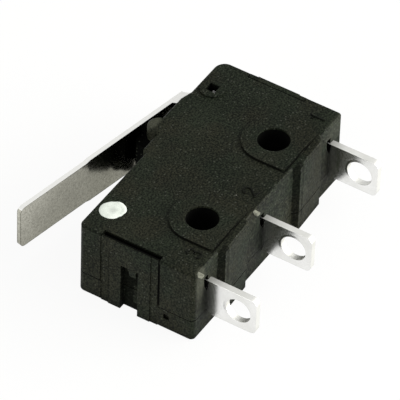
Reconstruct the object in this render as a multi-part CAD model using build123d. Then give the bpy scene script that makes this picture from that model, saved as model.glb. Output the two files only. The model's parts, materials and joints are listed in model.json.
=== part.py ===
from build123d import *

import math
import os

# Subminiature snap-action switch with a hinged lever and three solder tabs.
#
# The switch lies on one broad face.  X runs along its length, towards the end
# where the lever is hinged.  Y runs across it, from the solder tabs towards the
# lever.  Z runs through its thickness.  The origin is on the lower broad face,
# midway between the two mounting holes.  All sizes are in millimetres.

# ---------------------------------------------------------------- housing
body_length = 19.8
body_thickness = 6.4          # over the raised pads round the mounting holes
pad_height = 0.12             # how far the pads stand above the broad face
parting_height = 1.9          # seam between cover and case, above the lower face
wall_drop = 2.6               # mounting holes down to the wall with the tabs
foot_height = 0.42            # the two feet stand out of that wall
foot_width = 3.1
foot_bevel = 0.4              # sloping flank of a foot
foot_taper = 0.13             # a foot gets lower towards the hinge end
near_foot_shift = -0.2        # centre of each foot from its mounting hole
far_foot_shift = 0.3
deck_height = 6.9             # mounting holes up to the deck under the lever
plunger_deck_rise = 0.35      # deck round the plunger, above the main deck
plunger_deck_lead = 2.65      # from the plunger back to the step in the deck
plunger_deck_slope = 0.21     # length of that sloping step
cheek_rise = 0.65             # hinge cheeks, above the main deck
cheek_corner_radius = 0.85
deck_corner_radius = 0.55
tab_corner_radius = 0.35
guard_radius = 0.86           # round lobes either side of the plunger
guard_rise = 0.7              # centre of a lobe above the main deck
guard_back_rise = 0.93        # level run behind a lobe, above the main deck
guard_back_length = 2.4
guard_slope_length = 1.0      # from that run down to the hinge cheeks
edge_chamfer = 0.13           # round both broad faces
side_wall = 1.05              # thickness of both broad walls
end_wall = 0.95
tab_wall = 0.85
deck_wall = 0.9
seam_groove = 0.07
overcut = 1.0                 # cuts run this far past what they cut
overlap = 0.1                 # joined shapes run this far into each other

# ---------------------------------------------------------------- mounting
hole_pitch = 9.5
hole_diameter = 2.4
boss_wall = 0.5
pad_radius = 2.35
pad_reach = 2.25              # pad edge, from the hole towards the tabs
pad_edge_radius = 0.35

# ---------------------------------------------------------------- latches
latch_bottom = 0.35           # lower edge of a latch arm, above the hole axis
latch_width = 4.65
latch_thickness = 0.5
latch_recess = 0.55
latch_clearance = 0.06
latch_tip_length = 0.9
free_tip_thickness = 0.22     # tip of the arm at the free end, sloped inside
hinge_tip_thickness = 0.42    # tip of the arm at the hinge end
latch_top_gap = 0.05
latch_border = 0.62           # lowered margin along both sides of an arm
latch_border_depth = 0.06
window_width = 1.4
window_height = 4.2
catch_width = 0.85
catch_height = 0.7
catch_depth = 0.42
catch_flat = 0.245            # upright part of its face, below the top
catch_root = 0.05             # how far it runs back into the wall
catch_top_gap = 0.04
catch_side_gap = 0.08
gate_size = 0.46              # small square moulding mark beside one latch
gate_depth = 0.2
gate_height = 1.235
gate_from_latch = 0.75

# ---------------------------------------------------------------- terminals
terminal_thickness = 0.5
terminal_width = 3.1
terminal_reach = 4.0          # bare length outside the wall
terminal_corner_radius = 0.45
common_inset = 1.45           # terminal centres, in from the two ends
normally_closed_inset = 1.95
normally_open_x = -0.6
terminal_drop = 0.1           # blades sit this far below mid thickness
eyelet_radius = 1.0
eyelet_from_end = 1.45
relief_width = 0.46           # tapered relief beside each terminal root
relief_neck_width = 0.38
relief_height = 1.5
relief_neck_height = 0.8      # from the top down to the neck
relief_rise = 0.55            # above the blade
relief_depth = 0.7            # into the wall
bend_radius = 0.15

# ---------------------------------------------------------------- contacts
contact_offset = 1.05         # contacts in from the normally closed terminal
contact_radius = 0.8
contact_margin = 0.1          # strip left beyond a contact
contact_height = 0.33
contact_edge_radius = 0.15
rivet_radius = 0.4
moving_contact_radius = 0.7
moving_contact_height = 0.3
moving_contact_edge_radius = 0.12
contact_travel = 0.8
contact_touch = 0.02
strip_gap = 0.08              # internal strips clear the bosses by this
strip_width = 2.4
arm_thickness = 0.15
arm_root_width = 2.8
arm_tip_width = 1.7
arm_neck_length = 1.5
arm_neck_gap = 1.6            # from the window to the neck
arm_window_width = 1.7
arm_window_reach = 3.05       # from the plunger to the window's far edge
arm_window_gap = 0.3          # from the post to the window
arm_groove_depth = 0.15
arm_groove_half = 0.3         # half its height at the mouth
arm_groove_floor = 0.12       # half its height at the floor
arm_engagement = 0.08
common_overhang = 0.5         # common blade above the arm's pivot
post_inset = 0.5              # post in from the hole at the hinge end
post_width = 1.2
spring_thickness = 0.12
spring_width = 1.1
spring_engagement = 0.12      # into the arm's window

# ---------------------------------------------------------------- plunger
plunger_x = 1.7
plunger_length = 1.5          # along X
plunger_width = 2.2           # along Z
plunger_clearance = 0.05
plunger_crown_radius = 1.0
plunger_lever_gap = 0.05
flange_margin = 0.42
flange_height = 0.6
flange_gap = 0.03
foot_nose_length = 1.0
foot_nose_width = 1.3
foot_nose_radius = 0.4
spring_foot_gap = 0.04

# ---------------------------------------------------------------- lever
lever_thickness = 0.35
lever_rest_angle = 11.3       # above the length of the body, free position
lever_travel = 13.0           # degrees, free position to the end of the travel
lever_tip_inset = 0.15        # tip in from the body's free end
lever_clearance = 0.13        # each side, between the hinge cheeks
lever_step = 0.1              # the free part is this much narrower each side
lever_step_reach = 10.5       # pivot to that step
lever_step_length = 0.4
lever_start = 0.75            # the strip starts this far in front of the pivot
lever_tip_radius = 0.45
lever_height = 2.25           # pivot up to the outer face of the strip
pivot_inset = 2.97            # pivot in from the hinge end
pivot_drop = 1.12             # pivot below the top of the cheeks
ear_thickness = 0.3
ear_radius = 0.72
ear_root_length = 1.5         # along the strip
trunnion_width = 0.6
trunnion_length = 0.75
pivot_hole = 0.78
pivot_pad_radius = 0.95
pocket_before_pivot = 2.0
pocket_after_pivot = 2.1
pocket_depth = 2.5
pocket_wall = 0.65

# ---------------------------------------------------------------- paint mark
mark_inset = 2.4              # in from the free end
mark_drop = 1.32              # below the deck under the lever
mark_length = 1.95
mark_width = 1.8
mark_height = 0.06

# ---------------------------------------------------------------- derived
half_length = body_length / 2
half_pitch = hole_pitch / 2
common_x = half_length - common_inset
normally_closed_x = normally_closed_inset - half_length
contact_x = normally_closed_x + contact_offset
post_x = half_pitch - post_inset
arm_window_front = plunger_x - arm_window_reach
lever_tip_x = lever_tip_inset - half_length
hole_radius = hole_diameter / 2
face_z = body_thickness - pad_height
mid_z = face_z / 2
inner_low = side_wall
inner_high = face_z - side_wall
boss_radius = hole_radius + boss_wall
wall_y = -wall_drop
foot_y = wall_y - foot_height
cheek_y = deck_height + cheek_rise
plunger_deck_y = deck_height + plunger_deck_rise
deck_inner_y = deck_height - deck_wall
latch_y0 = latch_bottom
latch_y1 = latch_bottom + latch_width
window_y0 = (latch_y0 + latch_y1 - window_width) / 2

pivot_x = half_length - pivot_inset
pivot_y = cheek_y - pivot_drop
pocket_x0 = pivot_x - pocket_before_pivot
pocket_x1 = pivot_x + pocket_after_pivot
pocket_floor_y = cheek_y - pocket_depth
pocket_roof_y = pocket_floor_y - pocket_wall

terminal_z = mid_z - terminal_drop
terminal_z0 = terminal_z - terminal_width / 2
terminal_z1 = terminal_z + terminal_width / 2
terminal_end_y = wall_y - terminal_reach
strip_y0 = boss_radius + strip_gap
strip_y1 = strip_y0 + terminal_thickness
half_moving_stack = arm_thickness / 2 + moving_contact_height
arm_low_y = strip_y1 + contact_height + contact_touch + half_moving_stack
arm_high_y = arm_low_y + contact_travel
arm_pivot_x = common_x - terminal_thickness / 2 + arm_engagement
arm_pivot_y = arm_low_y + contact_travel / 2
arm_reach = arm_pivot_x - contact_x
arm_rest_angle = math.degrees(math.asin(contact_travel / 2 / arm_reach))
closed_strip_y0 = arm_high_y + half_moving_stack + contact_touch + contact_height
closed_strip_y1 = closed_strip_y0 + terminal_thickness

lever_inner = lever_height - lever_thickness


def crown_centre_y(lever_angle, gap):
    """Height of the plunger's crown centre that leaves this gap to the lever."""
    turn = math.radians(lever_angle)
    along = (plunger_x - pivot_x) * math.sin(turn)
    room = lever_inner - plunger_crown_radius - gap
    return pivot_y + (room - along) / math.cos(turn)


crown_rest_y = crown_centre_y(lever_rest_angle, plunger_lever_gap)
crown_pressed_y = crown_centre_y(lever_rest_angle - lever_travel, contact_touch)
plunger_travel = crown_rest_y - crown_pressed_y
flange_top_y = deck_inner_y - flange_gap
arm_top_pressed_y = arm_pivot_y - (arm_pivot_x - plunger_x) * contact_travel / 2 / arm_reach
nose_y = arm_top_pressed_y + arm_thickness + plunger_travel


def block(x0, x1, y0, y1, z0, z1):
    """Box between two opposite corners."""
    centre = Pos((x0 + x1) / 2, (y0 + y1) / 2, (z0 + z1) / 2)
    return centre * Box(x1 - x0, y1 - y0, z1 - z0)


def polygon(points):
    """Face in the XY plane through the points, in order."""
    return make_face(Polyline(*points, close=True))


def prism(face, z0, z1):
    """Extrude a face of the XY plane between two heights."""
    return Pos(0, 0, z0) * extrude(face, amount=z1 - z0)


def upright(x, y, radius, z0, z1):
    """Round column along Z."""
    return Pos(x, y, (z0 + z1) / 2) * Cylinder(radius, z1 - z0)


def round_corner(face, x, y, radius):
    """Fillet the corner of a face that is nearest to a point."""
    corner = face.vertices().sort_by_distance((x, y, 0))[0]
    return fillet(corner, radius)


def foot_points(centre_x):
    """Outline of one foot, from the free end on."""
    start = centre_x - foot_width / 2
    end = start + foot_width
    return [
        (start - foot_bevel, wall_y),
        (start, foot_y),
        (end, foot_y + foot_taper),
        (end + foot_bevel, wall_y),
    ]


def body_outline():
    """Outline of the housing seen on its broad face."""
    guard_y = deck_height + guard_rise
    step_x = plunger_x - plunger_deck_lead
    back_y = deck_height + guard_back_rise
    back_x = plunger_x + guard_radius + guard_back_length
    points = [(-half_length, wall_y)]
    points += foot_points(near_foot_shift - half_pitch)
    points += foot_points(far_foot_shift + half_pitch)
    points += [
        (half_length, wall_y),
        (half_length, cheek_y),
        (back_x + guard_slope_length, cheek_y),
        (back_x, back_y),
        (plunger_x, back_y),
        (plunger_x - guard_radius, plunger_deck_y),
        (step_x, plunger_deck_y),
        (step_x - plunger_deck_slope, deck_height),
        (-half_length, deck_height),
    ]
    face = polygon(points)
    face = round_corner(face, half_length, cheek_y, cheek_corner_radius)
    face = round_corner(face, -half_length, deck_height, deck_corner_radius)
    face = round_corner(face, -half_length, wall_y, tab_corner_radius)
    face = round_corner(face, half_length, wall_y, tab_corner_radius)
    lobe = Pos(plunger_x, guard_y) * Circle(guard_radius)
    return face + lobe


def chamfered_prism(face, z0, z1):
    """Prism between two heights with a small chamfer all round at z1."""
    body = prism(face, min(z0, z1), max(z0, z1))
    end = body.faces().sort_by(Axis.Z)[-1 if z1 > z0 else 0]
    return chamfer(end.edges(), edge_chamfer)


def channel():
    """Open space on the lever side, between the two hinge cheeks."""
    above = cheek_y + guard_radius + guard_rise
    step_x = plunger_x - plunger_deck_lead
    shelf = block(step_x, pocket_x0, plunger_deck_y, above, inner_low, inner_high)
    pocket = block(pocket_x0, pocket_x1, pocket_floor_y, above, inner_low, inner_high)
    back = block(pocket_x1, half_length + overcut, deck_height, above, inner_low, inner_high)
    return shelf + pocket + back


def cavity(z0, z1):
    """Room for the contacts, less the columns round the mounting holes."""
    x0 = -half_length + end_wall
    x1 = half_length - end_wall
    floor_y = wall_y + tab_wall
    room = block(x0, x1, floor_y, pocket_roof_y, z0, z1)
    room += block(x0, pocket_x0 - pocket_wall, floor_y, deck_inner_y, z0, z1)
    for x in (-half_pitch, half_pitch):
        room -= upright(x, 0, boss_radius, z0, z1)
        room -= block(x - hole_radius, x + hole_radius, floor_y, 0, z0, z1)
    return room


def through_openings():
    """Everything that passes through case and cover alike."""
    cuts = channel()
    for x in (-half_pitch, half_pitch):
        cuts += upright(x, 0, hole_radius, -overcut, body_thickness + overcut)
    half_x = plunger_length / 2 + plunger_clearance
    half_z = plunger_width / 2 + plunger_clearance
    cuts += block(
        plunger_x - half_x,
        plunger_x + half_x,
        deck_inner_y - overcut / 2,
        plunger_deck_y + overcut,
        mid_z - half_z,
        mid_z + half_z,
    )
    for x in (normally_closed_x, normally_open_x, common_x):
        cuts += block(
            x - terminal_thickness / 2,
            x + terminal_thickness / 2,
            foot_y - overcut,
            wall_y + tab_wall,
            terminal_z0,
            terminal_z1,
        )
    half_hole = pivot_hole / 2
    cuts += block(
        pivot_x - half_hole,
        pivot_x + half_hole,
        pivot_y - half_hole,
        pivot_y + half_hole,
        -overcut,
        body_thickness + overcut,
    )
    return cuts


def terminal_relief(x):
    """Tapered relief in the wall, on the free-end side of a terminal."""
    side = x - terminal_thickness / 2
    top = terminal_z1 + relief_rise
    profile = Plane.XZ * polygon(
        [
            (side + overlap, top),
            (side - relief_width, top),
            (side - relief_neck_width, top - relief_neck_height),
            (side, top - relief_height),
            (side + overlap, top - relief_height),
        ]
    )
    cut = extrude(profile, amount=foot_height + relief_depth, both=True)
    return Pos(0, wall_y, 0) * cut


def hole_pad(x):
    """Raised pad round a mounting hole: round towards the lever, then square."""
    pad = polygon(
        [
            (-pad_radius, -pad_reach),
            (pad_radius, -pad_reach),
            (pad_radius, 0),
            (-pad_radius, 0),
        ]
    )
    pad = round_corner(pad, -pad_radius, -pad_reach, pad_edge_radius)
    pad = round_corner(pad, pad_radius, -pad_reach, pad_edge_radius)
    pad += Circle(pad_radius)
    return Pos(x, 0, 0) * prism(pad, face_z, body_thickness)


def catch(end):
    """Wedge that snaps into the window of a latch arm; end is -1 or 1."""
    root = half_length - latch_recess - catch_root
    tip = half_length - latch_recess + catch_depth
    top = window_height - catch_top_gap
    profile = Plane.XZ * polygon(
        [
            (end * root, top),
            (end * tip, top),
            (end * tip, top - catch_flat),
            (end * root, top - catch_height),
        ]
    )
    wedge = extrude(profile, amount=catch_width / 2, both=True)
    return Pos(0, window_y0 + catch_side_gap + catch_width / 2, 0) * wedge


def build_case():
    case = chamfered_prism(body_outline(), parting_height, face_z)
    case += hole_pad(-half_pitch) + hole_pad(half_pitch)
    case += upright(pivot_x, pivot_y, pivot_pad_radius, face_z, body_thickness)
    case -= cavity(parting_height - overcut, inner_high)
    case -= through_openings()
    for x in (normally_closed_x, normally_open_x, common_x):
        case -= terminal_relief(x)
    for end in (-1, 1):
        inner = end * (half_length - latch_recess)
        outer = end * (half_length + overcut)
        case -= block(
            min(inner, outer),
            max(inner, outer),
            latch_y0 - latch_clearance,
            latch_y1 + latch_clearance,
            parting_height - overcut,
            body_thickness + overcut,
        )
        case += catch(end)
    return case


def latch_arm(end):
    """Arm of the cover that runs up one end of the case; end is -1 or 1."""
    outer = half_length
    inner = outer - latch_thickness
    tip = outer - (free_tip_thickness if end < 0 else hinge_tip_thickness)
    top = face_z - latch_top_gap
    profile = Plane.XZ * polygon(
        [
            (end * outer, 0),
            (end * outer, top),
            (end * tip, top),
            (end * inner, top - latch_tip_length),
            (end * inner, 0),
        ]
    )
    arm = extrude(profile, amount=latch_width / 2, both=True)
    return Pos(0, (latch_y0 + latch_y1) / 2, 0) * arm


def latch_cuts(end):
    """Window and lowered margins of a latch arm."""
    outer = end * (half_length + overcut)
    inner = end * (half_length - latch_thickness)
    cuts = block(
        min(inner, outer),
        max(inner, outer),
        window_y0,
        window_y0 + window_width,
        -overcut,
        window_height,
    )
    margin = end * (half_length - latch_border_depth)
    for y in (latch_y0, latch_y1 - latch_border):
        x0 = min(margin, outer)
        x1 = max(margin, outer)
        cuts += block(x0, x1, y, y + latch_border, -overcut, body_thickness)
    return cuts


def build_cover():
    outline = body_outline()
    cover = chamfered_prism(outline, parting_height, 0)
    rim = outline - offset(outline, -seam_groove)
    cover -= prism(rim, parting_height - seam_groove, parting_height + overcut)
    cover -= cavity(inner_low, parting_height + overcut)
    cover -= through_openings()
    for end in (-1, 1):
        cover += latch_arm(end)
        cover -= latch_cuts(end)
    gate_y = latch_y0 - gate_from_latch
    cover -= block(
        -half_length - overcut,
        -half_length + gate_depth,
        gate_y - gate_size / 2,
        gate_y + gate_size / 2,
        gate_height - gate_size / 2,
        gate_height + gate_size / 2,
    )
    return cover


def terminal_tail(x):
    """Bare end of a terminal: blade with rounded corners and an eyelet."""
    blade = Plane.YZ * polygon(
        [
            (terminal_end_y, terminal_z0),
            (wall_y + tab_wall, terminal_z0),
            (wall_y + tab_wall, terminal_z1),
            (terminal_end_y, terminal_z1),
        ]
    )
    tail = Pos(x, 0, 0) * extrude(blade, amount=terminal_thickness / 2, both=True)
    ends = tail.edges().filter_by(Axis.X).group_by(Axis.Y)[0]
    tail = fillet(ends, terminal_corner_radius)
    eyelet = Rot(0, 90, 0) * Cylinder(eyelet_radius, 2 * terminal_thickness)
    return tail - Pos(x, terminal_end_y + eyelet_from_end, terminal_z) * eyelet


def strip_hole(x, y):
    """Round hole through a strip, along Y."""
    return Pos(x, y, mid_z) * Rot(90, 0, 0) * Cylinder(rivet_radius, 2 * terminal_thickness)


def build_normally_closed_terminal():
    x0 = normally_closed_x - terminal_thickness / 2
    x1 = normally_closed_x + terminal_thickness / 2
    tip = contact_x + contact_radius + contact_margin
    start = wall_y + tab_wall
    profile = polygon(
        [
            (x0, start),
            (x1, start),
            (x1, closed_strip_y0),
            (tip, closed_strip_y0),
            (tip, closed_strip_y1),
            (x0, closed_strip_y1),
        ]
    )
    profile = round_corner(profile, x1, closed_strip_y0, bend_radius)
    profile = round_corner(profile, x0, closed_strip_y1, bend_radius + terminal_thickness)
    inside = prism(profile, mid_z - strip_width / 2, mid_z + strip_width / 2)
    terminal = terminal_tail(normally_closed_x) + inside
    return terminal - strip_hole(contact_x, (closed_strip_y0 + closed_strip_y1) / 2)


def build_normally_open_terminal():
    x0 = normally_open_x - terminal_thickness / 2
    x1 = normally_open_x + terminal_thickness / 2
    tip = contact_x - rivet_radius - contact_margin
    start = wall_y + tab_wall
    profile = polygon(
        [
            (x0, start),
            (x1, start),
            (x1, strip_y1),
            (tip, strip_y1),
            (tip, strip_y0),
            (x0, strip_y0),
        ]
    )
    profile = round_corner(profile, x0, strip_y0, bend_radius)
    profile = round_corner(profile, x1, strip_y1, bend_radius + terminal_thickness)
    inside = prism(profile, mid_z - strip_width / 2, mid_z + strip_width / 2)
    terminal = terminal_tail(normally_open_x) + inside
    return terminal - strip_hole(contact_x, (strip_y0 + strip_y1) / 2)


def build_common_terminal():
    x0 = common_x - terminal_thickness / 2
    x1 = common_x + terminal_thickness / 2
    start = wall_y + tab_wall
    top = arm_pivot_y + common_overhang
    column = block(x0, x1, start, top, terminal_z0, terminal_z1)
    groove = polygon(
        [
            (x0 - overlap, arm_pivot_y - arm_groove_half - overlap),
            (x0 + arm_groove_depth, arm_pivot_y - arm_groove_floor),
            (x0 + arm_groove_depth, arm_pivot_y + arm_groove_floor),
            (x0 - overlap, arm_pivot_y + arm_groove_half + overlap),
        ]
    )
    column -= prism(groove, 0, body_thickness)
    post_x0 = post_x - terminal_thickness / 2
    post_x1 = post_x + terminal_thickness / 2
    post_top = arm_pivot_y - arm_thickness
    bracket = polygon(
        [
            (x0, strip_y0),
            (x0, strip_y1),
            (post_x1, strip_y1),
            (post_x1, post_top),
            (post_x0, post_top),
            (post_x0, strip_y0),
        ]
    )
    bracket = round_corner(bracket, post_x1, strip_y1, bend_radius)
    bracket = round_corner(bracket, post_x0, strip_y0, bend_radius + terminal_thickness)
    leg = prism(bracket, mid_z - post_width / 2, mid_z + post_width / 2)
    return terminal_tail(common_x) + column + leg


def rivet(x, face_y, direction, strip):
    """Contact rivet: head on one side of a strip, shank through it."""
    head = Cylinder(contact_radius, contact_height)
    head = fillet(head.edges().group_by(Axis.Z)[-1], contact_edge_radius)
    shank = Pos(0, 0, -(contact_height + strip) / 2) * Cylinder(rivet_radius, strip)
    turn = Rot(-90, 0, 0) if direction > 0 else Rot(90, 0, 0)
    centre_y = face_y + direction * contact_height / 2
    return Pos(x, centre_y, mid_z) * turn * (head + shank)


def build_normally_open_contact():
    return rivet(contact_x, strip_y1, 1, terminal_thickness)


def build_normally_closed_contact():
    return rivet(contact_x, closed_strip_y0, -1, terminal_thickness)


def at_arm(shape):
    """Place a shape drawn from the arm's pivot, arm along -X, in the free position."""
    return Pos(arm_pivot_x, arm_pivot_y, mid_z) * Rot(0, 0, -arm_rest_angle) * shape


def build_moving_arm():
    length = arm_reach + moving_contact_radius
    half_root = arm_root_width / 2
    half_tip = arm_tip_width / 2
    window_end = arm_window_front - arm_pivot_x
    neck = window_end - arm_neck_gap
    plan = Plane.XZ * polygon(
        [
            (0, -half_root),
            (0, half_root),
            (neck, half_root),
            (neck - arm_neck_length, half_tip),
            (-length, half_tip),
            (-length, -half_tip),
            (neck - arm_neck_length, -half_tip),
            (neck, -half_root),
        ]
    )
    arm = extrude(plan, amount=arm_thickness / 2, both=True)
    arm += Cylinder(arm_thickness / 2, arm_root_width)
    window_start = post_x + terminal_thickness + arm_window_gap - arm_pivot_x
    half_window = arm_window_width / 2
    arm -= block(window_end, window_start, -overcut, overcut, -half_window, half_window)
    arm -= Pos(-arm_reach, 0, 0) * Rot(90, 0, 0) * Cylinder(rivet_radius, 2 * arm_thickness)
    return at_arm(arm)


def build_moving_contact():
    stack = arm_thickness + 2 * moving_contact_height
    contact = Cylinder(rivet_radius, stack)
    for side in (-1, 1):
        height = side * (arm_thickness + moving_contact_height) / 2
        contact += Pos(0, 0, height) * Cylinder(moving_contact_radius, moving_contact_height)
    rims = contact.edges().filter_by(GeomType.CIRCLE).group_by(Axis.Z)
    contact = fillet(rims[0] + rims[-1], moving_contact_edge_radius)
    return at_arm(Pos(-arm_reach, 0, 0) * Rot(90, 0, 0) * contact)


def build_snap_spring():
    """Arched leaf: from the post, under the plunger's nose, to the arm's window."""
    crown = nose_y - spring_foot_gap - spring_thickness / 2
    start = (post_x - terminal_thickness / 2 - spring_thickness, arm_pivot_y - 2 * arm_thickness)
    rise = (arm_pivot_x - arm_window_front) * contact_travel / 2 / arm_reach
    end = (arm_window_front + spring_engagement, arm_pivot_y + rise)
    line = ThreePointArc(start, (plunger_x, crown), end)
    leaf = trace(line, spring_thickness)
    return prism(leaf, mid_z - spring_width / 2, mid_z + spring_width / 2)


def build_plunger():
    half = plunger_length / 2
    shoulder = crown_rest_y + math.sqrt(plunger_crown_radius**2 - half**2)
    crown = crown_rest_y + plunger_crown_radius
    outline = [
        Line((-half, flange_top_y), (-half, shoulder)),
        ThreePointArc((-half, shoulder), (0, crown), (half, shoulder)),
        Line((half, shoulder), (half, flange_top_y)),
        Line((half, flange_top_y), (-half, flange_top_y)),
    ]
    stem = prism(make_face(outline), -plunger_width / 2, plunger_width / 2)
    flange_x = half + flange_margin
    flange_z = plunger_width / 2 + flange_margin
    flange_y0 = flange_top_y - flange_height
    flange = block(-flange_x, flange_x, flange_y0, flange_top_y, -flange_z, flange_z)
    nose_half = foot_nose_length / 2
    nose_z = foot_nose_width / 2
    nose = block(-nose_half, nose_half, nose_y, flange_top_y, -nose_z, nose_z)
    low = nose.edges().filter_by(Axis.Z).group_by(Axis.Y)[0]
    nose = fillet(low, foot_nose_radius)
    return Pos(plunger_x, 0, mid_z) * (stem + flange + nose)


def at_lever(shape):
    """Place a shape drawn from the lever's pivot, tip along +X, outside along +Y."""
    mirrored = mirror(shape, about=Plane.YZ)
    return Pos(pivot_x, pivot_y, mid_z) * Rot(0, 0, -lever_rest_angle) * mirrored


def build_lever():
    turn = math.radians(lever_rest_angle)
    reach = (pivot_x - lever_tip_x + lever_height * math.sin(turn)) / math.cos(turn)
    half_wide = mid_z - side_wall - lever_clearance
    half_narrow = half_wide - lever_step
    plan = polygon(
        [
            (lever_start, -half_wide),
            (lever_step_reach, -half_wide),
            (lever_step_reach + lever_step_length, -half_narrow),
            (reach, -half_narrow),
            (reach, half_narrow),
            (lever_step_reach + lever_step_length, half_narrow),
            (lever_step_reach, half_wide),
            (lever_start, half_wide),
        ]
    )
    plan = round_corner(plan, reach, -half_narrow, lever_tip_radius)
    plan = round_corner(plan, reach, half_narrow, lever_tip_radius)
    lever = Rot(-90, 0, 0) * prism(plan, lever_inner, lever_height)
    ear_top = lever_inner + lever_thickness / 2
    ear_face = polygon(
        [
            (-ear_radius, 0),
            (ear_radius, 0),
            (lever_start + ear_root_length, ear_top),
            (lever_start, ear_top),
        ]
    )
    ear_face += Circle(ear_radius)
    half_trunnion = trunnion_width / 2
    for side in (-1, 1):
        outer = side * half_wide
        inner = side * (half_wide - ear_thickness)
        lever += prism(ear_face, min(outer, inner), max(outer, inner))
        tip = side * (half_wide + trunnion_length)
        lever += block(
            -half_trunnion,
            half_trunnion,
            -ear_thickness / 2,
            ear_thickness / 2,
            min(inner, tip),
            max(inner, tip),
        )
    return at_lever(lever)


def build_paint_mark():
    """Dab of paint: an uneven round blob with a thin edge."""
    uneven = (1.0, 0.93, 1.02, 0.9, 0.98, 1.04, 0.92, 1.0)
    points = []
    for number, swell in enumerate(uneven):
        angle = 2 * math.pi * number / len(uneven)
        x = mark_length / 2 * swell * math.cos(angle)
        y = mark_width / 2 * swell * math.sin(angle)
        points.append((x, y))
    blob = make_face(Spline(*points, periodic=True))
    dab = extrude(blob, amount=mark_height)
    return Pos(mark_inset - half_length, deck_height - mark_drop, face_z) * dab


parts = {
    "case": build_case(),
    "cover": build_cover(),
    "plunger": build_plunger(),
    "lever": build_lever(),
    "common_terminal": build_common_terminal(),
    "normally_open_terminal": build_normally_open_terminal(),
    "normally_closed_terminal": build_normally_closed_terminal(),
    "normally_open_contact": build_normally_open_contact(),
    "normally_closed_contact": build_normally_closed_contact(),
    "moving_arm": build_moving_arm(),
    "moving_contact": build_moving_contact(),
    "snap_spring": build_snap_spring(),
    "paint_mark": build_paint_mark(),
}

os.makedirs("parts", exist_ok=True)
for name, shape in parts.items():
    export_step(shape, f"parts/{name}.step")

print("plunger travel per radian of the lever:", plunger_travel / math.radians(lever_travel))
print("arm turn per radian of the lever:", 2 * arm_rest_angle / lever_travel)
print("lever pivot:", pivot_x, pivot_y, " arm pivot:", arm_pivot_x, arm_pivot_y)
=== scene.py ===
import json
import math

import bmesh
import bpy
from mathutils import Matrix, Vector


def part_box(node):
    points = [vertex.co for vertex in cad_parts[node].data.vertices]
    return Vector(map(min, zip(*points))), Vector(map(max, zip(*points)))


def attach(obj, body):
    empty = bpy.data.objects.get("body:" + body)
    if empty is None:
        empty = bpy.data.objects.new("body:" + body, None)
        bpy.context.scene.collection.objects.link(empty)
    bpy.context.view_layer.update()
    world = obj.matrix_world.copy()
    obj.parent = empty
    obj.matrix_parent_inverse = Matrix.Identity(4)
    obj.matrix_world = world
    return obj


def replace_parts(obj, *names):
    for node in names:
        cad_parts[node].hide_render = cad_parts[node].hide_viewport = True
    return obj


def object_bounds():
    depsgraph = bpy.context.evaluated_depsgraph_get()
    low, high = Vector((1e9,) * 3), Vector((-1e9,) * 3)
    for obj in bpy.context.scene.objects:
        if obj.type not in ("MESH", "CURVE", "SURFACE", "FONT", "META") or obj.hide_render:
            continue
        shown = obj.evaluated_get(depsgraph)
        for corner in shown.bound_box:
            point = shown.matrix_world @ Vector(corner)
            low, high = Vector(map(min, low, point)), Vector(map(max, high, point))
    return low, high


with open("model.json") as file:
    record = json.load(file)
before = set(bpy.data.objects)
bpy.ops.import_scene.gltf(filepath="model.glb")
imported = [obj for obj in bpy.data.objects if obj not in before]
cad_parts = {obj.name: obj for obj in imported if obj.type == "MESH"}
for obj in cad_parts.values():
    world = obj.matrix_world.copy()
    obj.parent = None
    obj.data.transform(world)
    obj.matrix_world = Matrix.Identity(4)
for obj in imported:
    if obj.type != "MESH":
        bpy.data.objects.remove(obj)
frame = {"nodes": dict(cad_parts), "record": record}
cad_bounds = [list(corner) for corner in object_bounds()]

# Names in capitals are sizes in millimetres, angles in degrees or plain shares.
# Places taken from the frame are in metres, like the frame itself.
MM = 0.001

# ---------------------------------------------------------------- the frame
case_low, case_high = (Vector(corner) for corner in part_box("case"))
mark_low, mark_high = (Vector(corner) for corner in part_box("paint_mark"))
plunger_low, plunger_high = (Vector(corner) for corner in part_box("plunger"))
mounts = {mount["name"]: mount for mount in frame["record"]["mounts"]}
body_centre = (Vector(cad_bounds[0]) + Vector(cad_bounds[1])) / 2
mark_centre = (mark_low + mark_high) / 2
plunger_x = (plunger_low.x + plunger_high.x) / 2
face_z = mark_low.z  # the broad face that carries the mark
end_x = case_low.x  # the end face with the near latch

# the terminals, from the free end to the hinge end
eyelets = [mounts[f"{name}_eyelet"] for name in ("normally_closed", "normally_open", "common")]
eyelet_dims = eyelets[0]["dims"]
blade_half = eyelet_dims["length_mm"] * MM / 2
terminal_faces = [eyelet["pos_m"][0] - blade_half for eyelet in eyelets]
TERMINAL_REACH = 4.0  # bare length of a terminal, outside the wall
wall_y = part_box("common_terminal")[0][1] + TERMINAL_REACH * MM

hole_dims = mounts["mounting_holes"]["dims"]
hole_centres = [(side * hole_dims["spacing_x_mm"] / 2 * MM, 0.0, 0.0) for side in (-1, 1)]
hole_radius = hole_dims["hole_r_mm"] * MM

# ---------------------------------------------------------------- painted light and shade, and pale spots
# Each row holds a centre in metres, half sizes in millimetres and a strength.

# paler spots: painted light on the walls, and a paler patch on the guard lobe
PALE_AND_LIT_SPOTS = (
    # the guard lobe over the plunger
    ((plunger_x, case_high.y - 0.3 * MM, case_high.z - 0.1 * MM), (0.95, 0.5, 0.6), 0.25),
    # painted light on the wall before the first terminal
    ((terminal_faces[0] - 0.9 * MM, wall_y, case_high.z - 1.4 * MM), (0.55, 0.4, 2.2), 0.2),
    # painted light on the wall at the hinge end
    ((case_high.x - 0.9 * MM, wall_y, case_high.z - 0.8 * MM), (1.3, 0.4, 1.3), 0.09),
)
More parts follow.
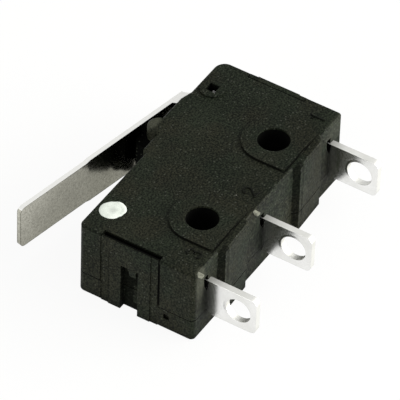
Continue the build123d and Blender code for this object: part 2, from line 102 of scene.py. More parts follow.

# painted shade at the near latch, in gaps and recesses where shade falls
PAINTED_SHADE_BOXES = (
    # the gap between the latch arm and the case, towards the terminals
    ((end_x, 0.29 * MM, 4.05 * MM), (0.3, 0.11, 2.15), 1.0),
    # the top of the arm
    ((end_x + 0.22 * MM, 2.675 * MM, 6.2 * MM), (0.14, 2.4, 0.12), 1.0),
    # the groove along the arm's other margin
    ((end_x, 4.38 * MM, 2.7 * MM), (0.2, 0.05, 2.3), 0.55),
    # the floor of the window
    ((end_x + 0.75 * MM, 2.65 * MM, 1.7 * MM), (0.45, 0.75, 1.75), 0.75),
    # the side of the catch
    ((end_x + 0.4 * MM, 2.1 * MM, 3.85 * MM), (0.35, 0.09, 0.45), 0.9),
)

# painted shade on the flanks of the two feet that face the free end, one foot to each hole
FLANK_FROM_HOLE = (-1.75, -1.25)
FLANK_DROP = 0.21
PAINTED_SHADE_BOXES += tuple(
    ((hole[0] + x * MM, wall_y - FLANK_DROP * MM, body_centre.z), (0.5, 0.2, 3.6), 0.6)
    for hole, x in zip(hole_centres, FLANK_FROM_HOLE)
)

# faces in the window that catch the light
LIT = (
    # the front of the catch
    ((end_x + 0.1 * MM, 2.52 * MM, 3.75 * MM), (0.25, 0.34, 0.42), 0.9),
    # the wall under it
    ((end_x + 0.5 * MM, 2.28 * MM, 1.45 * MM), (0.2, 0.34, 0.85), 0.6),
)

# painted shade line round the pads of the mounting holes
PAD_RADIUS = 2.35
PAD_REACH = 2.25  # from the hole to the pad's straight side by the terminals
PAD_SHADE_LINE = 0.09

# how far the lever's face leans: place along X, lean
LEVER_LEAN = (
    (-3.35, -0.055),
    (-3.05, -0.022),
    (-1.3, 0.042),
    (-0.7, 0.028),
    (0.1, -0.035),
    (1.2, 0.03),
)
# the table becomes a colour ramp over this length and this range, both about zero
LEVER_SPAN = 8.0
LEAN_SCALE = 0.2


# ---------------------------------------------------------------- materials
class Nodes:
    """Short calls for building one node material."""

    def __init__(self, name):
        self.material = bpy.data.materials.new(name)
        self.material.use_nodes = True
        self.tree = self.material.node_tree
        self.shader = self.tree.nodes["Principled BSDF"]
        self.place = self.tree.nodes.new("ShaderNodeTexCoord").outputs["Object"]

    # ---- nodes of Blender, one call each
    def add(self, kind, **inputs):
        """New node; inputs are named as in Blender, with _ for each space."""
        node = self.tree.nodes.new(kind)
        for name, value in inputs.items():
            self.set(node.inputs[name.replace("_", " ")], value)
        return node

    def set(self, socket, value):
        """Link a socket, or store a plain value."""
        if isinstance(value, bpy.types.NodeSocket):
            self.tree.links.new(value, socket)
        else:
            socket.default_value = value

    def surface(self, **inputs):
        """Set inputs of the material's shader."""
        for name, value in inputs.items():
            self.set(self.shader.inputs[name.replace("_", " ")], value)

    def math(self, operation, first, second=0.0):
        node = self.add("ShaderNodeMath")
        node.operation = operation
        self.set(node.inputs[0], first)
        self.set(node.inputs[1], second)
        return node.outputs[0]

    def weighted(self, *terms):
        """Sum of two (value, weight) terms."""
        return self.math("ADD", *(self.math("MULTIPLY", *term) for term in terms))

    def vector(self, operation, first, second=None, output="Vector"):
        node = self.add("ShaderNodeVectorMath")
        node.operation = operation
        self.set(node.inputs[0], first)
        if second is not None:
            self.set(node.inputs[1], second)
        return node.outputs[output]

    def axes(self, vector):
        """The X, Y and Z outputs of a vector."""
        return self.add("ShaderNodeSeparateXYZ", Vector=vector).outputs

    def geometry(self, output):
        return self.add("ShaderNodeNewGeometry").outputs[output]

    def stretched(self, x, y, z):
        """Object coordinates scaled along each axis, so a texture runs in lines."""
        node = self.add("ShaderNodeMapping", Vector=self.place)
        node.inputs["Scale"].default_value = (x, y, z)
        return node.outputs["Vector"]

    def noise(self, per_mm, detail=3.0, roughness=0.55, where=None):
        node = self.add(
            "ShaderNodeTexNoise",
            Vector=where or self.place,
            Scale=per_mm / MM,
            Detail=detail,
            Roughness=roughness,
        )
        return node.outputs["Fac"]

    def ramp(self, value, *stops):
        """Colour ramp through (position, colour) stops; a number gives a grey."""
        node = self.add("ShaderNodeValToRGB", Fac=value)
        elements = node.color_ramp.elements
        while len(elements) < len(stops):
            elements.new(0.5)
        for element, (position, colour) in zip(elements, stops):
            element.position = position
            if isinstance(colour, (int, float)):
                colour = (colour, colour, colour)
            element.color = (*colour, 1.0)
        return node.outputs["Color"]

    def mix(self, factor, first, second, blend="MIX"):
        node = self.add("ShaderNodeMix")
        node.data_type = "RGBA"
        node.blend_type = blend
        self.set(node.inputs[0], factor)
        for socket, value in ((node.inputs[6], first), (node.inputs[7], second)):
            self.set(socket, (*value, 1.0) if isinstance(value, tuple) else value)
        return node.outputs[2]

    def tint(self, factor, colour, filter_colour):
        """The colour, multiplied by the filter where the factor is one."""
        return self.mix(factor, colour, filter_colour, blend="MULTIPLY")

    def openness(self, reach_mm):
        """One in the open, less where faces stand close by."""
        node = self.add("ShaderNodeAmbientOcclusion", Distance=reach_mm * MM)
        node.samples = 6
        return node.outputs["AO"]

    def rounded(self, radius_mm):
        """Normals that round off sharp edges."""
        node = self.add("ShaderNodeBevel", Radius=radius_mm * MM)
        node.samples = 6
        return node.outputs["Normal"]

    def bump(self, height, depth_mm, normal=None):
        node = self.add("ShaderNodeBump", Height=height, Distance=depth_mm * MM)
        if normal:
            self.set(node.inputs["Normal"], normal)
        return node.outputs["Normal"]

    # ---- masks: one at the place they name, nothing elsewhere
    def facing(self, axis):
        """Faces that look along an axis, either way."""
        along = self.math("ABSOLUTE", self.axes(self.geometry("True Normal"))[axis])
        return self.math("GREATER_THAN", along, 0.7)

    def specks(self, per_mm, size, share):
        """Sparse dots: a few cells of a cell pattern, near their centres."""
        cells = self.add("ShaderNodeTexVoronoi", Vector=self.place, Scale=per_mm / MM)
        chosen = self.math("GREATER_THAN", cells.outputs["Color"], share)
        near = self.math("LESS_THAN", cells.outputs["Distance"], size)
        return self.math("MULTIPLY", chosen, near)

    def from_centre(self, centre, half):
        """Place measured from a centre, in half sizes."""
        away = self.vector("SUBTRACT", self.place, centre)
        return self.vector("DIVIDE", away, tuple(size * MM for size in half))

    def pale_and_lit_spots(self):
        """Ragged paler spots: painted light on the walls and a paler patch on the lobe."""
        total = 0.0
        edge = self.noise(2.6, detail=3)
        for centre, half, strength in PALE_AND_LIT_SPOTS:
            near = self.vector("LENGTH", self.from_centre(centre, half), output="Value")
            ragged = self.weighted((near, 0.5), (edge, 0.3))
            total = self.math("ADD", total, self.ramp(ragged, (0.5, strength), (0.72, 0.0)))
        return self.math("MINIMUM", total, 1.0)

    def boxes(self, places):
        """How far inside soft-edged boxes."""
        total = 0.0
        for centre, half, strength in places:
            axes = self.axes(self.vector("ABSOLUTE", self.from_centre(centre, half)))
            far = self.math("MAXIMUM", self.math("MAXIMUM", axes["X"], axes["Y"]), axes["Z"])
            half_far = self.math("MULTIPLY", far, 0.5)
            inside = self.ramp(half_far, (0.44, strength), (0.52, 0.0))
            total = self.math("MAXIMUM", total, inside)
        return total

    def bores(self):
        """Inside the two mounting holes, below their rims."""
        flat = self.vector("MULTIPLY", self.place, (1.0, 1.0, 0.0))
        total = 0.0
        for centre in hole_centres:
            away = self.vector("DISTANCE", flat, centre, output="Value")
            inside = self.math("LESS_THAN", away, hole_radius + 0.02 * MM)
            total = self.math("MAXIMUM", total, inside)
        below = self.math("LESS_THAN", self.axes(self.place)["Z"], case_high.z - 0.15 * MM)
        return self.math("MULTIPLY", total, below)

    def pad_shade_lines(self):
        """Painted shade line round the two pads, on the sides towards the free end and the
        terminals.
        """
        total = 0.0
        for centre in hole_centres:
            axes = self.axes(self.vector("SUBTRACT", self.place, centre))
            # the pad's outline is round behind the hole and straight before it
            behind = self.math("MAXIMUM", axes["Y"], 0.0)
            before = self.math("MULTIPLY", axes["Y"], -PAD_RADIUS / PAD_REACH)
            flat = self.add("ShaderNodeCombineXYZ", X=axes["X"], Y=behind).outputs["Vector"]
            reach = self.vector("LENGTH", flat, output="Value")
            far = self.math("MAXIMUM", reach, before)
            past = self.math("SUBTRACT", far, PAD_RADIUS * MM)
            outside = self.math("DIVIDE", past, PAD_SHADE_LINE * MM)
            from_line = self.math("ABSOLUTE", self.math("SUBTRACT", outside, 0.4))
            band = self.ramp(from_line, (0.5, 1.0), (0.8, 0.0))
            across = self.math("ADD", axes["X"], axes["Y"])
            facing = self.math("ADD", self.math("DIVIDE", across, -4 * PAD_RADIUS * MM), 0.5)
            facing = self.ramp(facing, (0.45, 0.0), (0.65, 0.85))
            total = self.math("MAXIMUM", total, self.math("MULTIPLY", band, facing))
        on_top = self.math("GREATER_THAN", self.axes(self.place)["Z"], face_z - 0.05 * MM)
        return self.math("MULTIPLY", total, on_top)

    def painted_shade(self):
        """Painted shade: deep corners, bores and the places listed above, apart from the lit
        faces.
        """
        corners = self.ramp(self.openness(1.9), (0.25, 1.0), (0.75, 0.0))
        dark = self.math("MAXIMUM", corners, self.boxes(PAINTED_SHADE_BOXES))
        dark = self.math("MULTIPLY", dark, self.math("SUBTRACT", 1.0, self.boxes(LIT)))
        return self.math("MAXIMUM", dark, self.math("MAXIMUM", self.bores(), self.pad_shade_lines()))


def moulded_plastic(name, dark, light, grain_mm, roughness, specular=0.06):
    """Black thermoplastic: spark-eroded grain, drifting tint, specks, paler spots that are partly
    painted light, and painted shade.
    """
    m = Nodes(name)
    flow = m.noise(0.22, detail=4)
    hue = m.noise(0.3, detail=2)
    grain = m.noise(7.5, detail=1)
    pits = m.noise(4.2, detail=3)
    painted_shade = m.painted_shade()

    cool, warm = (0.88, 1.0, 0.98), (1.07, 1.0, 0.98)
    grey_speck, pale_speck = (0.041, 0.0445, 0.036), (0.12, 0.12, 0.105)
    pale_spot_colour = (0.13, 0.135, 0.105)
    colour = m.ramp(m.weighted((flow, 0.2), (grain, 0.8)), (0.4, dark), (0.63, light))
    colour = m.tint(m.ramp(hue, (0.42, 1.0), (0.5, 0.0)), colour, cool)
    colour = m.tint(m.ramp(hue, (0.52, 0.0), (0.6, 1.0)), colour, warm)
    colour = m.mix(m.specks(per_mm=5.0, size=0.3, share=0.75), colour, grey_speck)
    colour = m.mix(m.specks(per_mm=1.5, size=0.09, share=0.9), colour, pale_speck)
    # paler spots, painted light on the walls
    colour = m.mix(m.pale_and_lit_spots(), colour, pale_spot_colour)
    # painted shade, darker in corners, bores, latch gaps and round the pads
    colour = m.mix(painted_shade, colour, tuple(share * 0.15 for share in dark))

    gloss = m.ramp(pits, (0.3, roughness - 0.06), (0.7, roughness + 0.1))
    fine = m.bump(grain, grain_mm, m.rounded(0.06))
    m.surface(
        Base_Color=colour,
        Roughness=m.mix(painted_shade, gloss, (1.0, 1.0, 1.0)),
        Specular_IOR_Level=specular,
        Normal=m.bump(pits, grain_mm * 1.4, fine),
    )
    return m.material


def rolled_steel(name):
    """Stainless strip: lines along it, dark specks, matt edges, painted shade near the case and a
    slight twist.
    """
    m = Nodes(name)
    lines = m.noise(1.0, detail=5, where=m.stretched(0.12, 6.0, 9.0))
    smear = m.noise(0.45, detail=4)
    speck = m.noise(7.0, detail=2)
    tone = m.weighted((lines, 0.5), (smear, 0.5))
    sheared = m.facing("Z")

    dull, bright = (0.45, 0.44, 0.375), (0.6, 0.59, 0.51)
    dark_speck, pale_speck = (0.27, 0.265, 0.22), (0.75, 0.74, 0.66)
    shade_near_case, corner_line = (0.42, 0.42, 0.39), (0.25, 0.25, 0.22)
    sheared_edge = (0.77, 0.77, 0.745)
    colour = m.ramp(tone, (0.3, dull), (0.7, bright))
    colour = m.mix(m.ramp(speck, (0.52, 0.0), (0.66, 0.6)), colour, dark_speck)
    colour = m.mix(m.ramp(speck, (0.34, 0.5), (0.44, 0.0)), colour, pale_speck)
    # painted shade: darker where the case stands close
    colour = m.tint(m.ramp(m.openness(6), (0.42, 1.0), (0.95, 0.0)), colour, shade_near_case)
    colour = m.mix(sheared, colour, sheared_edge)
    true_normal = m.geometry("True Normal")
    agree = m.vector("DOT_PRODUCT", m.rounded(0.14), true_normal, output="Value")
    on_face = m.math("SUBTRACT", 1.0, sheared)
    corner = m.math("MULTIPLY", m.ramp(agree, (0.88, 1.0), (0.985, 0.0)), on_face)
    colour = m.tint(corner, colour, corner_line)

    # the strip is not quite true: it leans past the shoulder and twists before it
    along = m.math("DIVIDE", m.axes(m.place)["X"], LEVER_SPAN * MM)
    stops = [(x / LEVER_SPAN + 0.5, lean / LEAN_SCALE + 0.5) for x, lean in LEVER_LEAN]
    level = m.ramp(m.math("ADD", along, 0.5), *stops)
    lean = m.math("MULTIPLY", m.math("SUBTRACT", level, 0.5), LEAN_SCALE)
    normal = m.geometry("Normal")
    side = m.math("MULTIPLY", m.axes(normal)["Y"], -1.0)
    offset = m.add("ShaderNodeCombineXYZ", Z=m.math("MULTIPLY", side, lean)).outputs["Vector"]
    leaning = m.vector("NORMALIZE", m.vector("ADD", normal, offset))

    gloss = m.ramp(tone, (0.3, 0.1), (0.7, 0.17))
    m.surface(
        Base_Color=colour,
        Roughness=m.mix(sheared, gloss, (0.5, 0.5, 0.5)),
        Metallic=1.0,
        Normal=m.bump(lines, 0.001, leaning),
    )
    return m.material


def tinned_brass(name):
    """Tin plate: bright clouded faces, dull sheared edges, a burr round the eyelet."""
    m = Nodes(name)
    cloud = m.noise(0.7, detail=4)
    grain = m.noise(6.0, detail=3)
    flat = m.facing("X")
    colour = m.ramp(cloud, (0.3, (0.79, 0.79, 0.765)), (0.7, (0.9, 0.9, 0.885)))
    edge_colour = m.tint(1.0, colour, (0.82, 0.82, 0.81))
    bright = m.ramp(grain, (0.3, 0.17), (0.7, 0.26))

    _, eyelet_y, eyelet_z = eyelets[0]["pos_m"]
    blade = m.vector("MULTIPLY", m.place, (0.0, 1.0, 1.0))
    away = m.vector("DISTANCE", blade, (0.0, eyelet_y, eyelet_z), output="Value")
    half_radii = m.math("DIVIDE", away, 2 * eyelet_dims["r_mm"] * MM)
    burr = m.ramp(half_radii, (0.5, 1.0), (0.6, 0.0))
    height = m.weighted((burr, 0.02), (cloud, 0.006))
    m.surface(
        Base_Color=m.mix(flat, edge_colour, colour),
        Roughness=m.mix(flat, (0.55, 0.55, 0.55), bright),
        Metallic=1.0,
        Normal=m.bump(height, 1.0, m.rounded(0.05)),
    )
    return m.material


def spring_copper(name):
    """Copper spring strip, lightly toned."""
    m = Nodes(name)
    lines = m.noise(1.2, detail=4, where=m.stretched(0.2, 5.0, 6.0))
    m.surface(
        Base_Color=m.ramp(lines, (0.3, (0.55, 0.33, 0.2)), (0.7, (0.8, 0.52, 0.34))),
        Roughness=m.ramp(lines, (0.3, 0.25), (0.7, 0.38)),
        Metallic=1.0,
        Normal=m.bump(lines, 0.003),
    )
    return m.material


def contact_silver(name):
    """Silver contact, slightly mottled."""
    m = Nodes(name)
    grain = m.noise(3.0, detail=4)
    m.surface(
        Base_Color=m.ramp(grain, (0.3, (0.72, 0.71, 0.68)), (0.7, (0.9, 0.89, 0.86))),
        Roughness=m.ramp(grain, (0.3, 0.18), (0.7, 0.3)),
        Metallic=1.0,
    )
    return m.material


def marking_paint(name):
    """Thick white paint, uneven, with a thin grey spot where the brush touched."""
    m = Nodes(name)
    cloud = m.noise(1.6, detail=3)
    streak = m.noise(2.2, detail=2, where=m.stretched(1.0, 0.35, 1.0))
    touch = mark_centre + Vector((0, 0, mark_high.z - mark_low.z))
    away = m.vector("DISTANCE", m.place, tuple(touch), output="Value")
    spot = m.ramp(m.math("DIVIDE", away, MM), (0.15, 1.0), (0.4, 0.0))
    colour = m.ramp(cloud, (0.3, (0.65, 0.7, 0.67)), (0.65, (0.77, 0.82, 0.79)))
    colour = m.tint(spot, colour, (0.8, 0.8, 0.8))
    colour = m.tint(m.ramp(streak, (0.56, 0.0), (0.66, 0.7)), colour, (0.72, 0.74, 0.74))
    m.surface(
        Base_Color=colour,
        Roughness=m.ramp(cloud, (0.3, 0.28), (0.7, 0.4)),
        Normal=m.bump(cloud, 0.03),
    )
    return m.material


def highlight_plastic(name):
    """Black moulding painted pale and rough: a painted highlight on the wall lugs."""
    m = Nodes(name)
    blotch = m.noise(3.5, detail=4)
    m.surface(
        Base_Color=m.ramp(blotch, (0.35, (0.11, 0.113, 0.092)), (0.65, (0.3, 0.305, 0.255))),
        Roughness=m.ramp(blotch, (0.3, 0.6), (0.7, 0.8)),
        Specular_IOR_Level=0.2,
        Normal=m.bump(blotch, 0.03, m.rounded(0.05)),
    )
    return m.material


black = moulded_plastic(
    "black_moulding",
    dark=(0.0026, 0.0038, 0.0019),
    light=(0.0222, 0.0248, 0.0162),
    grain_mm=0.012,
    roughness=0.5,
)
figure_black = moulded_plastic(
    "figure_moulding",
    dark=(0.0012, 0.0018, 0.0008),
    light=(0.006, 0.0075, 0.004),
    grain_mm=0.004,
    roughness=0.4,
)
# a darker copy of the black moulding: painted shade, where the plunger sits under the lever
shaded_plunger_black = moulded_plastic(
    "plunger_moulding",
    dark=(0.0006, 0.0007, 0.0005),
    light=(0.0018, 0.002, 0.0015),
    grain_mm=0.005,
    roughness=0.45,
    specular=0.02,
)
steel = rolled_steel("lever_steel")
tin = tinned_brass("tinned_terminal")
copper = spring_copper("spring_copper")
silver = contact_silver("contact_metal")
paint = marking_paint("mark_paint")
highlight_pale = highlight_plastic("painted_highlight_moulding")

finish = {
    "case": black,
    "cover": black,
    "plunger": shaded_plunger_black,
    "lever": steel,
    "common_terminal": tin,
    "normally_open_terminal": tin,
    "normally_closed_terminal": tin,
    "normally_open_contact": silver,
    "normally_closed_contact": silver,
    "moving_arm": copper,
    "moving_contact": silver,
    "snap_spring": copper,
    "paint_mark": paint,
}
for node, material in finish.items():
    piece = frame["nodes"][node]
    piece.data.materials.clear()
    piece.data.materials.append(material)


# ---------------------------------------------------------------- added pieces
def mesh_object(name, bm, material, body):
    """Piece from a finished bmesh, riding on a body."""
    mesh = bpy.data.meshes.new(name)
    bm.to_mesh(mesh)
    bm.free()
    mesh.materials.append(material)
    piece = bpy.data.objects.new(name, mesh)
    bpy.context.scene.collection.objects.link(piece)
    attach(piece, body)
    return piece


def unit_cube():
    bm = bmesh.new()
    bmesh.ops.create_cube(bm, size=1.0)
    return bm


# ---------------------------------------------------------------- paint dab
# the dab's radius, from +X round towards +Y at even steps
DAB_EDGE = (0.96, 0.86, 0.89, 0.97, 1.0, 0.98, 0.9, 0.84, 0.76, 0.8, 0.93, 0.95)
DAB_SHIFT = 0.1
DAB_RINGS = 14
DAB_SPOKES = 72
DAB_DOME = 3.2  # a higher power makes the top flatter
# a dent that runs part of the way round
DENT_DEPTH = 0.3
DENT_PLACE = 0.62
DENT_SPREAD = 0.012
DENT_TURN = 0.6


def dab_radius(angle):
    """Radius of the dab's edge, smoothly between the given ones."""
    place = angle / (2 * math.pi) * len(DAB_EDGE)
    first = int(place) % len(DAB_EDGE)
    share = place - int(place)
    share = share * share * (3 - 2 * share)
    return (DAB_EDGE[first] * (1 - share) + DAB_EDGE[(first + 1) % len(DAB_EDGE)] * share) * MM


def dab_height(share, angle):
    """Height of the dab as a share of the mark's, at a share of its radius."""
    dome = max(0.0, 1 - share**DAB_DOME) ** 0.5
    ring = math.exp(-((share - DENT_PLACE) ** 2) / DENT_SPREAD)
    return dome * (1 - DENT_DEPTH * ring * max(0.0, math.cos(angle + DENT_TURN)))


def paint_dab():
    """Domed dab on the case in place of the flat CAD mark."""
    height = mark_high.z - mark_low.z
    bm = bmesh.new()
    rows = []
    for ring in range(DAB_RINGS + 1):
        share = ring / DAB_RINGS
        row = []
        for spoke in range(DAB_SPOKES):
            angle = 2 * math.pi * spoke / DAB_SPOKES
            reach = share * dab_radius(angle)
            x = mark_centre.x + DAB_SHIFT * MM + reach * math.cos(angle)
            y = mark_centre.y + reach * math.sin(angle)
            row.append(bm.verts.new((x, y, mark_low.z + height * dab_height(share, angle))))
        rows.append(row)
    for inner, outer in zip(rows[:-1], rows[1:]):
        for spoke in range(DAB_SPOKES):
            following = (spoke + 1) % DAB_SPOKES
            bm.faces.new((inner[spoke], outer[spoke], outer[following], inner[following]))
    bmesh.ops.remove_doubles(bm, verts=bm.verts, dist=0.0001 * MM)
    bmesh.ops.recalc_face_normals(bm, faces=bm.faces)
    for face in bm.faces:
        face.smooth = True
    return mesh_object("paint_dab", bm, paint, "housing")


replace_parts(paint_dab(), "paint_mark")


# ---------------------------------------------------------------- figures
def arc(centre, radius, start, end, steps=14):
    """Points of an arc, angles in degrees."""
    points = []
    for step in range(steps + 1):
        angle = math.radians(start + (end - start) * step / steps)
        points.append((centre[0] + radius * math.cos(angle), centre[1] + radius * math.sin(angle)))
    return points


# strokes of plain figures, one high and 0.6 wide
FIGURES = {
    1: [[(0.1, 0.76), (0.34, 1.0), (0.34, 0.0)]],
    2: [arc((0.3, 0.71), 0.29, 172, -38) + [(0.02, 0.0), (0.6, 0.0)]],
    3: [arc((0.29, 0.755), 0.245, 155, -80), arc((0.29, 0.27), 0.27, 80, -155)],
}
FIGURE_MIDDLE = 0.3
FIGURE_HEIGHT = 1.1
FIGURE_STROKE = 0.17
FIGURE_RELIEF = 0.07
FIGURE_ROOT = 0.02  # sunk into the face
FIGURE_FROM_WALL = 0.7
# shares of the stroke's width
STROKE_FOOT = 0.5
STROKE_CROWN = 0.3
STROKE_OVERRUN = 0.3


def raise_stroke(bm, points, width, low, high):
    """Ribbon along the points, standing from low to high, with sloping flanks."""
    section = (
        (STROKE_FOOT, low),
        (STROKE_CROWN, high),
        (-STROKE_CROWN, high),
        (-STROKE_FOOT, low),
    )
    rows = []
    for index, point in enumerate(points):
        before = points[max(index - 1, 0)]
        after = points[min(index + 1, len(points) - 1)]
        along = Vector((after[0] - before[0], after[1] - before[1])).normalized()
        side = Vector((-along.y, along.x))
        base = Vector(point)
        if index == 0:
            base -= along * width * STROKE_OVERRUN
        if index == len(points) - 1:
            base += along * width * STROKE_OVERRUN
        row = []
        for reach, z in section:
            spot = base + side * width * reach
            row.append(bm.verts.new((spot.x, spot.y, z)))
        rows.append(row)
    for first, second in zip(rows[:-1], rows[1:]):
        for lane in range(len(section) - 1):
            bm.faces.new((first[lane], second[lane], second[lane + 1], first[lane + 1]))
    for row in (rows[0], rows[-1]):
        bm.faces.new(row)


def figure(number, x):
    """Raised figure on the case behind one terminal."""
    bm = bmesh.new()
    low = face_z - FIGURE_ROOT * MM
    high = face_z + FIGURE_RELIEF * MM
    for stroke in FIGURES[number]:
        points = []
        for u, v in stroke:
            across = x + (u - FIGURE_MIDDLE) * (FIGURE_HEIGHT * MM)
            points.append((across, wall_y + (FIGURE_FROM_WALL + v * FIGURE_HEIGHT) * MM))
        raise_stroke(bm, points, FIGURE_STROKE * MM, low, high)
    bmesh.ops.recalc_face_normals(bm, faces=bm.faces)
    mesh_object(f"figure_{number}", bm, figure_black, "housing")


for number, eyelet in zip((3, 2, 1), eyelets):
    figure(number, eyelet["pos_m"][0])


# ---------------------------------------------------------------- wall lugs
LUG_BEFORE = 1.16  # from the terminal's face
LUG_LENGTH = 0.34
LUG_REACH = 0.42
LUG_DEPTH = 0.3
LUG_DROP = 0.03  # below the broad face
LUG_ROOT = 0.15  # sunk into the wall
LUG_ROUND = 0.08
# the outer end is shorter than the root, and reaches less far at its foot
LUG_END_SHARE = 0.8
LUG_FOOT_SHARE = 0.7


def lug(number, face_x):
    """Small lug on the wall before a terminal, worn round at its end, its pale moulding a painted
    highlight.
    """
    x0 = face_x - (LUG_BEFORE + LUG_LENGTH / 2) * MM
    top = face_z - LUG_DROP * MM
    bm = unit_cube()
    for vertex in bm.verts:
        outer = vertex.co.y < 0
        lower = vertex.co.z < 0
        width = LUG_END_SHARE if outer else 1.0
        reach = -LUG_REACH * (LUG_FOOT_SHARE if lower else 1.0) if outer else LUG_ROOT
        vertex.co.x = x0 + (0.5 + vertex.co.x * width) * LUG_LENGTH * MM
        vertex.co.y = wall_y + reach * MM
        vertex.co.z = top - (LUG_DEPTH * MM if lower else 0.0)
    piece = mesh_object(f"lug_{number}", bm, highlight_pale, "housing")
    worn = piece.modifiers.new("worn", "BEVEL")
    worn.width = LUG_ROUND * MM
    worn.segments = 3


# the common terminal has none
for number, face_x in enumerate(terminal_faces[:2], start=1):
    lug(number, face_x)


# ---------------------------------------------------------------- latches
# the front of the catch: in from the end face, then along Y and Z
NOSE_INSET = 0.3
NOSE_Y = 2.54
NOSE_Z = 3.68
NOSE_SIZE = (0.38, 0.6, 0.8)
NOSE_TAPER = 0.12  # its foot stands this far back
NOSE_ROUND = 0.06


def catch_nose():
    """Upright front of the catch that shows in the end window."""
    bm = unit_cube()
    for vertex in bm.verts:
        x, y, z = (share * size for share, size in zip(vertex.co, NOSE_SIZE))
        if x < 0 and z < 0:
            x += NOSE_TAPER
        vertex.co = (end_x + (NOSE_INSET + x) * MM, (NOSE_Y + y) * MM, (NOSE_Z + z) * MM)
    bmesh.ops.bevel(
        bm,
        geom=bm.edges[:],
        offset=NOSE_ROUND * MM,
        segments=3,
        profile=0.6,
        affect="EDGES",
    )
    mesh_object("catch_nose", bm, black, "housing")


# slivers of moulding flash that close narrow gaps: centre, size
FLASH = (
    # beside the near latch arm
    ((end_x / MM + 0.3, 5.03, 4.0), (0.5, 0.07, 4.3)),
    # over the far latch arm
    ((case_high.x / MM - 0.45, 2.675, 5.95), (0.26, 4.65, 0.5)),
    # along the seam in the wall
    ((0.0, wall_y / MM + 0.045, 1.9), (19.0, 0.08, 0.1)),
)


def flash(number, centre, size):
    """Box of flash; centre and size in millimetres."""
    bm = unit_cube()
    for vertex in bm.verts:
        place = (middle + share * whole for middle, share, whole in zip(centre, vertex.co, size))
        vertex.co = Vector(place) * MM
    mesh_object(f"flash_{number}", bm, black, "housing")


catch_nose()
for number, (centre, size) in enumerate(FLASH, start=1):
    flash(number, centre, size)

# ---------------------------------------------------------------- stage
FLOOR_SIZE = 1.2  # metres
FLOOR_DROP = 0.002
FLOOR_VEIL = 0.91  # how much of the floor's own shading the white hides
WHITE = (1.0, 1.0, 1.0)
SKY_COLOUR = (1.0, 1.0, 0.93)
SKY_STRENGTH = 0.66


def seen_directly(tree):
    """One for rays from the camera, a mirror or a glass, nothing for light."""
    path = tree.nodes.new("ShaderNodeLightPath")
    sockets = [path.outputs[f"Is {kind} Ray"] for kind in ("Camera", "Glossy", "Transmission")]
    value = sockets[0]
    for socket in sockets[1:]:
        either = tree.nodes.new("ShaderNodeMath")
        either.operation = "MAXIMUM"
        tree.links.new(value, either.inputs[0])
        tree.links.new(socket, either.inputs[1])
        value = either.outputs[0]
    return value


def floor():
    """Floor that looks white and still shows the object's shadow."""
    half = FLOOR_SIZE / 2
    z = cad_bounds[0][2] - FLOOR_DROP * MM
    corners = [(-half, -half, z), (half, -half, z), (half, half, z), (-half, half, z)]
    mesh = bpy.data.meshes.new("floor")
    mesh.from_pydata(corners, [], [(0, 1, 2, 3)])
    piece = bpy.data.objects.new("floor", mesh)
    bpy.context.scene.collection.objects.link(piece)

    m = Nodes("pale_floor")
    cloud = m.noise(0.004, detail=2)
    m.surface(
        Base_Color=m.ramp(cloud, (0.3, 0.86), (0.7, 0.9)),
        Roughness=0.9,
        Specular_IOR_Level=0.0,
    )
    white = m.add("ShaderNodeEmission", Strength=1.0)
    share = m.math("MULTIPLY", seen_directly(m.tree), FLOOR_VEIL)
    veil = m.add("ShaderNodeMixShader", Fac=share)
    out = m.tree.nodes["Material Output"]
    m.tree.links.new(m.shader.outputs["BSDF"], veil.inputs[1])
    m.tree.links.new(white.outputs["Emission"], veil.inputs[2])
    m.tree.links.new(veil.outputs["Shader"], out.inputs["Surface"])
    mesh.materials.append(m.material)


floor()


def background(tree, colour, strength):
    node = tree.nodes.new("ShaderNodeBackground")
    node.inputs["Color"].default_value = (*colour, 1.0)
    node.inputs["Strength"].default_value = strength
    return node.outputs[0]


def backdrop():
    """World light, with a white background wherever it is seen or mirrored."""
    world = bpy.data.worlds.new("studio")
    bpy.context.scene.world = world
    world.use_nodes = True
    tree = world.node_tree
    tree.nodes.clear()
    mix = tree.nodes.new("ShaderNodeMixShader")
    out = tree.nodes.new("ShaderNodeOutputWorld")
    tree.links.new(seen_directly(tree), mix.inputs[0])
    tree.links.new(background(tree, SKY_COLOUR, SKY_STRENGTH), mix.inputs[1])
    tree.links.new(background(tree, WHITE, 1.0), mix.inputs[2])
    tree.links.new(mix.outputs[0], out.inputs["Surface"])


backdrop()


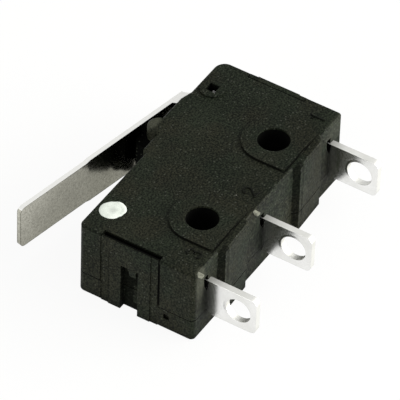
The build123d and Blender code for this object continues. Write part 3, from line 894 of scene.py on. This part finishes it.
def towards(azimuth, elevation):
    """Direction from the object; azimuth from +X towards +Y, in degrees."""
    turn, rise = math.radians(azimuth), math.radians(elevation)
    level = math.cos(rise)
    return Vector((level * math.cos(turn), level * math.sin(turn), math.sin(rise)))


def lamp(name, azimuth, elevation, distance, width, height, watts, colour):
    """Soft lamp aimed at the object."""
    out = towards(azimuth, elevation)
    data = bpy.data.lights.new(name, "AREA")
    data.shape = "RECTANGLE"
    data.size = width * MM
    data.size_y = height * MM
    data.energy = watts
    data.color = colour
    piece = bpy.data.objects.new(name, data)
    piece.location = body_centre + out * distance * MM
    piece.rotation_euler = out.to_track_quat("Z", "Y").to_euler()
    bpy.context.scene.collection.objects.link(piece)


lamp(
    "fill",
    azimuth=172,
    elevation=14,
    distance=300,
    width=260,
    height=170,
    watts=0.36,
    colour=(1.0, 1.0, 0.94),
)
lamp(
    "key",
    azimuth=-58,
    elevation=19,
    distance=300,
    width=320,
    height=170,
    watts=1.6,
    colour=(1.0, 0.99, 0.92),
)


# ---------------------------------------------------------------- camera
CAMERA_AZIMUTH = -149.456
CAMERA_ELEVATION = 43.998
CAMERA_ROLL = 2.039
CAMERA_DISTANCE = 369.67
CAMERA_LENS = 471.1
CAMERA_SENSOR = 36.0
CAMERA_CLIP = 0.01  # metres
TARGET_RIGHT = -2.625
TARGET_UP = 3.01


def camera():
    """Camera placed about the origin, then shifted and rolled in its own plane."""
    back = towards(CAMERA_AZIMUTH, CAMERA_ELEVATION)
    right = Vector((0, 0, 1)).cross(back).normalized()
    up = back.cross(right)
    roll = math.radians(CAMERA_ROLL)
    across = right * math.cos(roll) + up * math.sin(roll)
    upward = up * math.cos(roll) - right * math.sin(roll)
    turned = Matrix((across, upward, back)).transposed().to_4x4()
    turned.translation = (back * CAMERA_DISTANCE + right * TARGET_RIGHT + up * TARGET_UP) * MM
    data = bpy.data.cameras.new("camera")
    data.lens = CAMERA_LENS
    data.sensor_width = CAMERA_SENSOR
    data.clip_start = CAMERA_CLIP
    piece = bpy.data.objects.new("camera", data)
    piece.matrix_world = turned
    bpy.context.scene.collection.objects.link(piece)
    bpy.context.scene.camera = piece


camera()

bpy.context.scene.view_settings.view_transform = "Standard"
